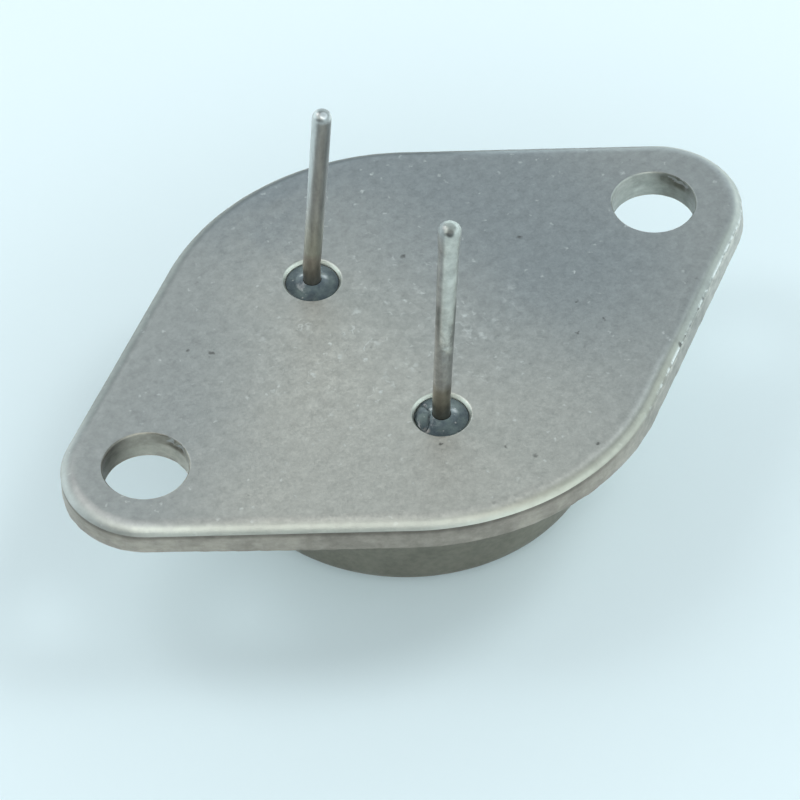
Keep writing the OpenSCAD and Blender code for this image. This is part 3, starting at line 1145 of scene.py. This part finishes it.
class TRANSISTOR_OT_pins(bpy.types.Operator):
    """Builds the bare emitter pin and the tinned base pin"""

    bl_idname = "transistor.pins"
    bl_label = "Pins"

    def execute(self, context):
        size = context.scene.transistor_pins
        finish = context.scene.transistor_finish
        for name, (place, _) in SEALS.items():
            pin_low, pin_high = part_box(name + "_pin")
            axis = Vector(MOUNTS[name + "_lead"]["axis"])
            tip = size.bend + (pin_high.z - size.bend) / axis.z
            foot = pin_low.z
            peak = place + Vector((0, 0, size.bend)) + axis * (tip - size.bend)
            if name == "base":
                material = tin_material(finish, place, axis, peak)
            else:
                material = pin_material(finish, place, axis, peak)
            corners = (
                (0, tip, 0),
                (size.wire_r, tip, size.tip_round),
                (size.foot_r, foot + size.head_t, 0.1 * MM),
                (size.head_r, foot + size.head_t, 0.08 * MM),
                (size.head_r, foot, 0.08 * MM),
                (0, foot, 0),
            )
            bm = lathe(corners, steps=64, longest=0.15 * MM)
            if name == "base":
                self.add_solder(bm, tip, size)
            lean_pin(bm, place, axis, size)
            make_piece(bm, name + "_lead_wire", [material], [name + "_pin"])
        return {"FINISHED"}

    def add_solder(self, bm, tip, size):
        """Swells the top of the base pin with uneven old solder and a bulb at the tip."""
        for vert in bm.verts:
            outward = Vector((vert.co.x, vert.co.y, 0))
            if outward.length < 0.02 * MM or vert.co.z < 0:
                continue
            depth = tip - vert.co.z
            coat = clamp(1 - depth / size.tin_length) ** 0.5
            bulb = math.exp(-((depth - 0.5 * MM) / (0.55 * MM)) ** 2)
            lump = 0.5 + 0.5 * ripple(vert.co, 0.9 * MM)
            push = size.tin_bulb * bulb + coat * (0.01 * MM + 0.04 * MM * lump)
            vert.co += outward.normalized() * push * min(1, outward.length / PIN_R)


class TRANSISTOR_OT_inside(bpy.types.Operator):
    """Finishes the pieces that the can seals in"""

    bl_idname = "transistor.inside"
    bl_label = "Sealed pieces"

    finishes = (
        ("braze_alloy", (0.69, 0.55, 0.34), 0.35, ("spreader_braze",)),
        ("spreader_copper", (0.72, 0.43, 0.28), 0.35, ("heat_spreader",)),
        ("die_attach_solder", (0.52, 0.53, 0.52), 0.4, ("die_solder",)),
        ("silicon_surface", (0.10, 0.12, 0.16), 0.15, ("silicon_die",)),
        ("bond_wire_aluminium", (0.78, 0.79, 0.80), 0.3,
         ("emitter_wire_1", "emitter_wire_2", "base_wire")),
    )

    def execute(self, context):
        for name, colour, roughness, nodes in self.finishes:
            material, tree, shader = new_material(name)
            clouds = noise_map(millimetres(tree), 1.5, 4.0, 0.6)
            feed(shader, {
                "Base Color": grey_scale(colour, remap(clouds, 0.3, 0.7, 0.85, 1.12)),
                "Metallic": 1.0,
                "Roughness": remap(clouds, 0.3, 0.7, roughness, roughness + 0.12),
            })
            for node in nodes:
                mesh = frame["nodes"][node].data
                mesh.materials.clear()
                mesh.materials.append(material)
        return {"FINISHED"}


def heading_of(stage, turn, height):
    """The direction at a turn, clockwise from straight behind the object as the camera sees it,
    and at a height over the floor, both in degrees."""
    heading = stage.azimuth - math.radians(turn)
    rise = math.tan(math.radians(height))
    return Vector((-math.sin(heading), math.cos(heading), rise)).normalized()


class TRANSISTOR_OT_stage(bpy.types.Operator):
    """Sets up the camera, the floor, the sky and the lamps"""

    bl_idname = "transistor.stage"
    bl_label = "Stage"

    def execute(self, context):
        stage = context.scene.transistor_stage
        self.add_floor(stage)
        self.add_sky(context.scene, stage)
        right = self.add_lamp(stage, "right_box", stage.right_power, SMALL_BOX, 62, 48)
        right.visible_glossy = False
        front = self.add_lamp(stage, "front_box", stage.front_power, WIDE_BOX, -160, 57)
        front.visible_diffuse = False
        front.data.color = (0.95, 1.0, 0.96)
        self.add_lamp(stage, "left_box", stage.left_power, SMALL_BOX, -60, 50)
        self.add_camera(context.scene, stage)
        context.scene.view_settings.view_transform = "Standard"
        return {"FINISHED"}

    def add_floor(self, stage):
        """Lays the floor under the can."""
        bm = bmesh.new()
        bmesh.ops.create_grid(bm, x_segments=1, y_segments=1, size=stage.floor_size / 2)
        bmesh.ops.translate(bm, verts=bm.verts[:], vec=(0, 0, CAD_BOX[0][2]))
        material, _, shader = new_material("pale_floor")
        feed(shader, {
            "Base Color": (*stage.floor_colour, 1), "Roughness": 0.9, "Specular IOR Level": 0.1})
        floor = mesh_object(bm, "floor", [material])

    def add_sky(self, scene, stage):
        """Sets up the sky: a plain backdrop for the camera, a bright belt that lights the object,
        and another, dark on the camera's side, that its metal mirrors."""
        world = bpy.data.worlds.new("sky")
        world.use_nodes = True
        tree = world.node_tree
        tree.nodes.clear()
        path = add_node(tree, "ShaderNodeLightPath")
        camera, glossy, through = (
            Value(path.outputs[f"Is {kind} Ray"]) for kind in ("Camera", "Glossy", "Transmission"))
        direction = output_of(tree, "ShaderNodeTexCoord", "Generated")
        rise = axes(direction)[2]
        belt = remap(rise, 0.75, 0.25, stage.zenith, 1.0)
        mirrored = remap(rise, 0.78, 0.3, stage.mirror_low, stage.mirror_high)
        dark_side = along(direction, heading_of(stage, -150, 0))
        mirrored *= remap(dark_side, 0.45, 0.9, 1.0, 1 - stage.camera_shade)
        light = output_of(
            tree, "ShaderNodeBackground", 0,
            {"Color": (1, 1, 1, 1), "Strength": belt * stage.sky_strength})
        backdrop = output_of(
            tree, "ShaderNodeBackground", 0,
            {"Color": (*stage.floor_colour, 1), "Strength": blend(glossy, 1.0, mirrored)})
        both = output_of(
            tree, "ShaderNodeMixShader", 0,
            {0: strongest(camera, glossy, through), 1: light, 2: backdrop})
        add_node(tree, "ShaderNodeOutputWorld", {"Surface": both})
        scene.world = world

    def add_lamp(self, stage, name, power, sides, turn, height):
        """Adds a soft box that faces the object from a turn and height as heading_of takes them."""
        away = heading_of(stage, turn, height)
        lamp = bpy.data.lights.new(name, "AREA")
        lamp.shape = "RECTANGLE"
        lamp.size, lamp.size_y = sides
        lamp.energy = power
        box = put_in_scene(name, lamp)
        facing = (-away).to_track_quat("-Z", "Y").to_matrix().to_4x4()
        box.matrix_world = Matrix.Translation(away * LAMP_DISTANCE) @ facing
        return box

    def add_camera(self, scene, stage):
        """Stands the camera at its distance from the point that it looks at."""
        back = Vector((
            math.sin(stage.azimuth) * math.cos(stage.elevation),
            -math.cos(stage.azimuth) * math.cos(stage.elevation),
            math.sin(stage.elevation)))
        lens = bpy.data.cameras.new("camera")
        lens.lens = stage.lens
        lens.sensor_width = PICTURE_WIDTH
        lens.clip_start = 5 * MM
        camera = put_in_scene("camera", lens)
        upright = (-back).to_track_quat("-Z", "Y").to_matrix().to_4x4()
        rolled = upright @ Matrix.Rotation(stage.roll, 4, "Z")
        place = Vector(stage.look_at) + back * stage.distance
        camera.matrix_world = Matrix.Translation(place) @ rolled
        scene.camera = camera


# ---------------------------------------------------------------- panel and start


OPERATORS = (
    TRANSISTOR_OT_stage,
    TRANSISTOR_OT_flange,
    TRANSISTOR_OT_can,
    TRANSISTOR_OT_glass,
    TRANSISTOR_OT_pins,
    TRANSISTOR_OT_inside,
)


class TRANSISTOR_PT_panel(bpy.types.Panel):
    """Lists the sizes, colours and build steps of the power transistor"""

    bl_idname = "TRANSISTOR_PT_panel"
    bl_label = "Power transistor"
    bl_space_type = "VIEW_3D"
    bl_region_type = "UI"
    bl_category = "Transistor"

    def draw(self, context):
        for operator in OPERATORS:
            self.layout.operator(operator.bl_idname)
        for name, settings in SETTINGS.items():
            box = self.layout.box()
            for key in settings.__annotations__:
                box.prop(getattr(context.scene, name), key)


def register():
    """Registers the settings, the operators and the panel."""
    for settings in SETTINGS.values():
        bpy.utils.register_class(settings)
    for name, settings in SETTINGS.items():
        setattr(bpy.types.Scene, name, PointerProperty(type=settings))
    for operator in OPERATORS:
        bpy.utils.register_class(operator)
    bpy.utils.register_class(TRANSISTOR_PT_panel)


def unregister():
    """Takes back all that register added."""
    bpy.utils.unregister_class(TRANSISTOR_PT_panel)
    for operator in reversed(OPERATORS):
        bpy.utils.unregister_class(operator)
    for name, settings in SETTINGS.items():
        delattr(bpy.types.Scene, name)
        bpy.utils.unregister_class(settings)


def main():
    """Builds the whole scene."""
    register()
    bpy.ops.transistor.stage()
    bpy.ops.transistor.flange()
    bpy.ops.transistor.can()
    bpy.ops.transistor.glass()
    bpy.ops.transistor.pins()
    bpy.ops.transistor.inside()


if __name__ == "__main__":
    main()
